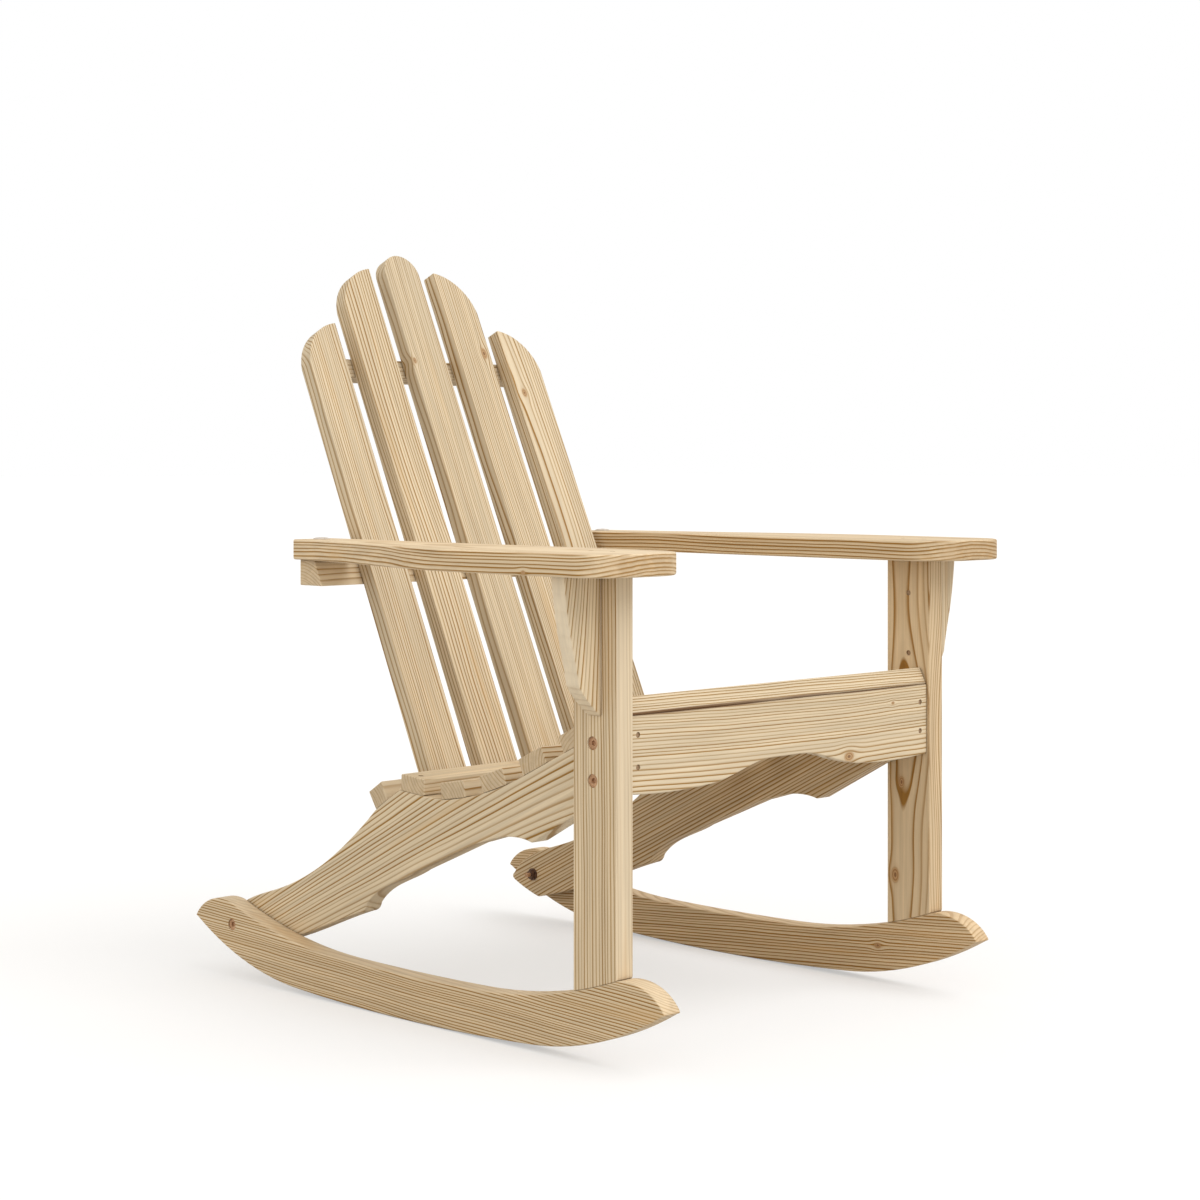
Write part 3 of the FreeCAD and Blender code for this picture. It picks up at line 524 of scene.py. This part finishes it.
def pine():
    """Bare planed pine: a solid texture of growth rings round the log's middle, bent round knots."""
    material, wood = fresh_material("pine_board", Wood)
    x, y, z, ripple = wandering_grain(wood)
    y, near = round_knots(wood, x, y, ripple)
    end = wood.step(wood.absolute(wood.facing[0]), *END_FACING)
    late = late_wood(wood, ring_count(wood, x, y, z), end)
    knot = wood.step(near, *KNOT_EDGE, before=1.0, after=0.0)
    fibre = wood.field(FIBRE_WAVES, detail=3.0, roughness=0.55)

    colour = planed_colour(wood, late, fibre)
    colour = knotty_colour(wood, colour, near, knot)
    colour = wood.blend(wood.product(end, END_SHARE), colour, END_GRAIN)
    colour = rubbed_colour(wood, colour)
    colour = painted_joint_shade(wood, colour)
    colour = tinted_colour(wood, colour)

    dull = wood.step(fibre, *DULL_FIBRE_STEP, before=0.56, after=0.72)
    roughness = wood.total(wood.product(late, LATE_ROUGHNESS), dull)
    height = wood.total(wood.product(late, LATE_HEIGHT), wood.product(fibre, FIBRE_HEIGHT))
    height = wood.less(height, wood.product(knot, KNOT_DIP))
    relief = wood.bump(height, strength=0.35, distance=WOOD_RELIEF)
    shader = surface(wood, colour, roughness, relief)
    wood.put(shader.inputs["Specular IOR Level"], 0.28)
    return material


def metal(name, base, patches, roughness, metallic):
    """Dull metal with stains, fine scratches and smoother spots."""
    material, net = fresh_material(name, Net)
    place = net.add("ShaderNodeTexCoord").outputs["Object"]
    stain = net.noise(net.vector("MULTIPLY", place, METAL_STAINS), detail=3.0, roughness=0.6)
    scratch = net.noise(net.vector("MULTIPLY", place, METAL_SCRATCHES))
    colour = net.blend(net.step(stain, *METAL_STAIN_STEP), base, patches)
    dull = net.step(scratch, *METAL_SCRATCH_STEP, before=roughness - METAL_SMOOTHER,
                    after=roughness + METAL_ROUGHER)
    relief = net.bump(net.total(stain, scratch), strength=0.25, distance=METAL_RELIEF)
    shader = surface(net, colour, dull, relief)
    net.put(shader.inputs["Metallic"], metallic)
    return material


PINE = pine()
ZINC = metal("plated_steel", (0.40, 0.26, 0.15), (0.27, 0.165, 0.09), roughness=0.45, metallic=0.25)
BROWN = metal("brown_bolt", (0.60, 0.36, 0.20), (0.42, 0.225, 0.115), roughness=0.55, metallic=0.1)
DARK = metal("dark_nut", (0.16, 0.085, 0.05), (0.09, 0.045, 0.028), roughness=0.55, metallic=0.3)
PALE = metal("pale_stud", (0.72, 0.66, 0.60), (0.58, 0.52, 0.46), roughness=0.40, metallic=0.35)
FINISHES = {"post_bolts": BROWN, "tail_bolts": BROWN, "nuts_and_washers": DARK, "post_dowels": PINE,
            "arm_rear_studs": PALE}


def sharp_chains(sharp):
    """The sharp edges in sets that hang together."""
    seen = set()
    for start in sharp:
        if start in seen:
            continue
        chain, queue = [], [start]
        seen.add(start)
        while queue:
            edge = queue.pop()
            chain.append(edge)
            for corner in edge.verts:
                for other in corner.link_edges:
                    if other in sharp and other not in seen:
                        seen.add(other)
                        queue.append(other)
        yield chain


def ease_edges(mesh):
    """Marks the long sharp edges to be rounded and leaves the rims of small holes sharp."""
    edges = bmesh.new()
    edges.from_mesh(mesh)
    weight = edges.edges.layers.float.new("bevel_weight_edge")
    sharp = set(edge for edge in edges.edges
                if len(edge.link_faces) == 2 and edge.calc_face_angle(0) > SHARP_TURN)
    for chain in sharp_chains(sharp):
        spots = [corner.co for edge in chain for corner in edge.verts]
        size = max(max(spot[axis] for spot in spots) - min(spot[axis] for spot in spots) for axis in range(3))
        for edge in chain:
            edge[weight] = 1.0 if size > LONG_CHAIN else 0.0
            edge.smooth = size > LONG_CHAIN
    edges.to_mesh(mesh)
    edges.free()


def board_mesh(name):
    """A copy of the solid's mesh with one face for each flat side and its long edges marked."""
    mesh = bpy.data.meshes.new(name + "_eased")
    shape = bmesh.new()
    shape.from_mesh(nodes[name].data)
    bmesh.ops.remove_doubles(shape, verts=shape.verts, dist=SAME_CORNER)
    bmesh.ops.dissolve_limit(shape, angle_limit=FLAT_TURN, verts=shape.verts, edges=shape.edges)
    for face in shape.faces:
        face.smooth = True
    shape.to_mesh(mesh)
    shape.free()
    ease_edges(mesh)
    mesh.materials.clear()
    mesh.materials.append(PINE)
    return mesh


def carry_grain(board, look, middle, seed):
    """Puts on the board what the wood material reads from it."""
    along = look["along"].normalized()
    through = (look["through"] - along * look["through"].dot(along)).normalized()
    board["middle"] = middle[:]
    board["axis_along"] = along[:]
    board["axis_across"] = through.cross(along)[:]
    board["axis_through"] = through[:]
    board["seed"] = seed
    pith_y, pith_z = look["pith"]
    board["pith"] = (pith_y * MM, pith_z * MM, look["tilt"])
    board["ring"] = look["ring"] * MM
    board["sway"] = look["sway"] * MM
    for key in ("spread", "dive", "fan", "lines", "fade", "quiet", "tone", "amber", "seam"):
        board[key] = look[key]
    knots = look["knots"] + [NO_KNOT] * MOST_KNOTS
    for index in range(MOST_KNOTS):
        board["knot%d" % (index + 1)] = tuple(length * MM for length in knots[index])


def dressed(name, look, seed):
    """The board with eased edges in the place of its solid."""
    board = bpy.data.objects.new(name + "_eased", board_mesh(name))
    scene.collection.objects.link(board)
    bevel = board.modifiers.new("eased", "BEVEL")
    bevel.width = SOFT_EDGE.get(name, EASED_EDGE) * MM
    bevel.segments = 3
    bevel.limit_method = "WEIGHT"
    bevel.use_clamp_overlap = True
    even = board.modifiers.new("even", "WEIGHTED_NORMAL")
    even.keep_sharp = True
    even.weight = 100
    low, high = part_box(name)
    carry_grain(board, look, (low + high) / 2, seed)
    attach(board, "root")
    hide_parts(name)


for number, (board_name, board_look) in enumerate(BOARDS.items()):
    dressed(board_name, {**PLAIN_LOOK, **board_look}, FIRST_SEED + SEED_STEP * number)

for node_name, node in nodes.items():
    if node_name not in BOARDS:
        for slot in node.material_slots:
            slot.material = FINISHES.get(node_name, ZINC)

# Floor: half its width and its height in metres, how pale it is to the light and to the camera, and how much
# of it glows to the camera
FLOOR_HALF = 60
FLOOR_HEIGHT = -0.0004
FLOOR_GREY = 0.60
FLOOR_GREY_SEEN = 0.95
FLOOR_GLOW_SEEN = 0.45


def floor_material():
    """Matt and pale. What the camera sees of it is paler than what lights the chair from below."""
    material = bpy.data.materials.new("floor")
    material.use_nodes = True
    net = Net(material.node_tree)
    shader = material.node_tree.nodes["Principled BSDF"]
    net.put(shader.inputs["Roughness"], 0.9)
    net.put(shader.inputs["Specular IOR Level"], 0.05)
    seen = net.add("ShaderNodeLightPath").outputs["Is Camera Ray"]
    grey = net.step(seen, 0.0, 1.0, before=FLOOR_GREY, after=FLOOR_GREY_SEEN)
    net.put(shader.inputs["Base Color"], net.combine(grey, grey, grey))
    glow = net.add("ShaderNodeEmission")
    net.put(glow.inputs["Strength"], 1.0)
    layers = net.add("ShaderNodeMixShader")
    net.put(layers.inputs[0], net.product(seen, FLOOR_GLOW_SEEN))
    net.put(layers.inputs[1], shader.outputs[0])
    net.put(layers.inputs[2], glow.outputs[0])
    net.put(material.node_tree.nodes["Material Output"].inputs["Surface"], layers.outputs[0])
    return material


def studio_floor():
    """One wide square under the chair."""
    mesh = bpy.data.meshes.new("floor")
    signs = ((-1, -1), (1, -1), (1, 1), (-1, 1))
    corners = [(x * FLOOR_HALF, y * FLOOR_HALF, FLOOR_HEIGHT) for x, y in signs]
    mesh.from_pydata(corners, [], [(0, 1, 2, 3)])
    mesh.materials.append(floor_material())
    floor = bpy.data.objects.new("floor", mesh)
    scene.collection.objects.link(floor)


def studio_world():
    """Warm soft light from all round, while the camera sees plain white."""
    world = bpy.data.worlds.new("studio")
    scene.world = world
    world.use_nodes = True
    world.node_tree.nodes.clear()
    net = Net(world.node_tree)
    path = net.add("ShaderNodeLightPath").outputs
    both = net.add("ShaderNodeMixShader")
    net.put(both.inputs[0], net.math("MAXIMUM", path["Is Camera Ray"], path["Is Transmission Ray"]))
    net.put(both.inputs[1], net.background(colour=(1.0, 0.97, 0.92), strength=0.80))
    net.put(both.inputs[2], net.background(colour=(1.0, 1.0, 1.0), strength=1.0))
    net.put(net.add("ShaderNodeOutputWorld").inputs["Surface"], both.outputs[0])


def sun(name, toward, strength, spread, colour):
    """A distant soft light that shines from the direction toward. The spread is in degrees."""
    lamp = bpy.data.lights.new(name, "SUN")
    lamp.energy = strength
    lamp.color = colour
    lamp.angle = math.radians(spread)
    holder = bpy.data.objects.new(name, lamp)
    scene.collection.objects.link(holder)
    holder.rotation_euler = Vector(toward).to_track_quat("Z", "Y").to_euler()


# The photograph's viewpoint: level, from the chair's front right, with a shifted lens
EYE_PLACE = (-2.2093, -2.2058, 0.66495)
EYE_TURN = -45.46
EYE_LENS = 74.37
EYE_SENSOR = 36
EYE_SHIFT = -0.1209


def photograph_camera():
    eye = bpy.data.cameras.new("eye")
    eye.sensor_width = EYE_SENSOR
    eye.lens = EYE_LENS
    eye.shift_y = EYE_SHIFT
    eye.clip_end = 200
    viewer = bpy.data.objects.new("eye", eye)
    scene.collection.objects.link(viewer)
    viewer.location = EYE_PLACE
    viewer.rotation_euler = (math.radians(90), 0, math.radians(EYE_TURN))
    scene.camera = viewer


studio_floor()
studio_world()
sun("key", toward=(0.2, -0.62, 0.76), strength=1.40, spread=50, colour=(0.98, 0.98, 1.0))
sun("side", toward=(-0.85, -0.3, 0.6), strength=0.4, spread=60, colour=(1.0, 0.97, 0.92))
photograph_camera()
scene.view_settings.view_transform = "Standard"
